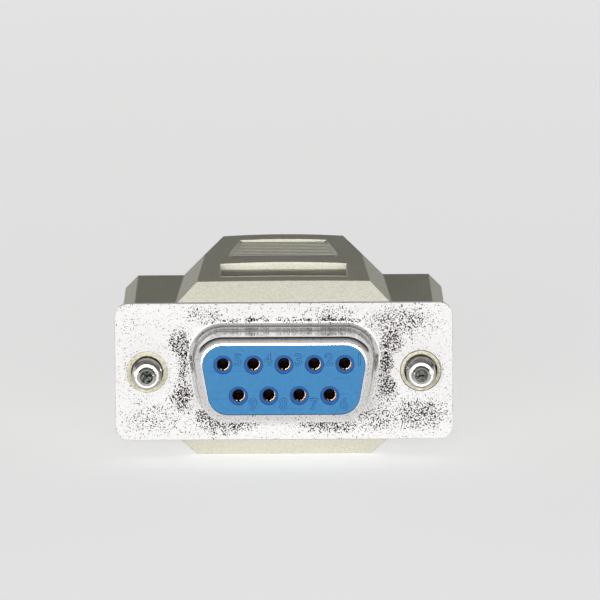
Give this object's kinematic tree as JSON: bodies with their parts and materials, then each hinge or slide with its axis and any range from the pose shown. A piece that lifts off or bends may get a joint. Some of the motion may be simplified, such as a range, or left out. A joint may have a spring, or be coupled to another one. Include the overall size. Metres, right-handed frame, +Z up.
{
  "type": "serial cable connector",
  "caption": "Moulded D-shaped serial cable connector with socket contacts in a blue insulator, captive thumbscrews and a round cable outlet.",
  "frame": {"origin": "centre of the flange's front face, on the axis of the D-shaped shell", "axes": "-Y out of the socket towards the mating plug, +Y along the cable outlet, +Z up with the row of five contacts on top, +X to the right seen from the front"},
  "size_m": [0.0308, 0.0485, 0.0163],
  "materials": {
    "hood_plastic": "fine matt moulded PVC, ivory",
    "core_plastic": "natural polyethylene",
    "tin_plate": "bright mottled tin plate",
    "blue_plastic": "satin moulded thermoplastic, blue",
    "gold_plate": "gold flash on brass",
    "screw_steel": "bright nickel plate",
    "spring_steel": "plain spring steel",
    "knob_plastic": "matt moulded plastic, ivory"
  },
  "bodies": {
    "connector": {"hood": "hood_plastic", "inner_mould": "core_plastic", "front_shell": "tin_plate", "rear_shell": "tin_plate", "insulator_front": "blue_plastic", "insulator_rear": "blue_plastic", "contact_1": "gold_plate", "contact_2": "gold_plate", "contact_3": "gold_plate", "contact_4": "gold_plate", "contact_5": "gold_plate", "contact_6": "gold_plate", "contact_7": "gold_plate", "contact_8": "gold_plate", "contact_9": "gold_plate"},
    "left_slider": {"retaining_ring_left": "spring_steel"},
    "left_screw": {"jackscrew_left": "screw_steel", "thumb_knob_left": "knob_plastic"},
    "right_slider": {"retaining_ring_right": "spring_steel"},
    "right_screw": {"jackscrew_right": "screw_steel", "thumb_knob_right": "knob_plastic"}
  },
  "joints": [
    {"name": "left_screw_travel", "type": "slide", "parent": "connector", "child": "left_slider", "axis": [0, 1, 0], "range_m": [-0.002, 0.004]},
    {"name": "left_screw_turn", "type": "hinge", "parent": "left_slider", "child": "left_screw", "pos_m": [-0.01249, 0.03, 0], "axis": [0, 1, 0], "continuous": true},
    {"name": "right_screw_travel", "type": "slide", "parent": "connector", "child": "right_slider", "axis": [0, 1, 0], "range_m": [-0.002, 0.004]},
    {"name": "right_screw_turn", "type": "hinge", "parent": "right_slider", "child": "right_screw", "pos_m": [0.01249, 0.03, 0], "axis": [0, 1, 0], "continuous": true}
  ]
}
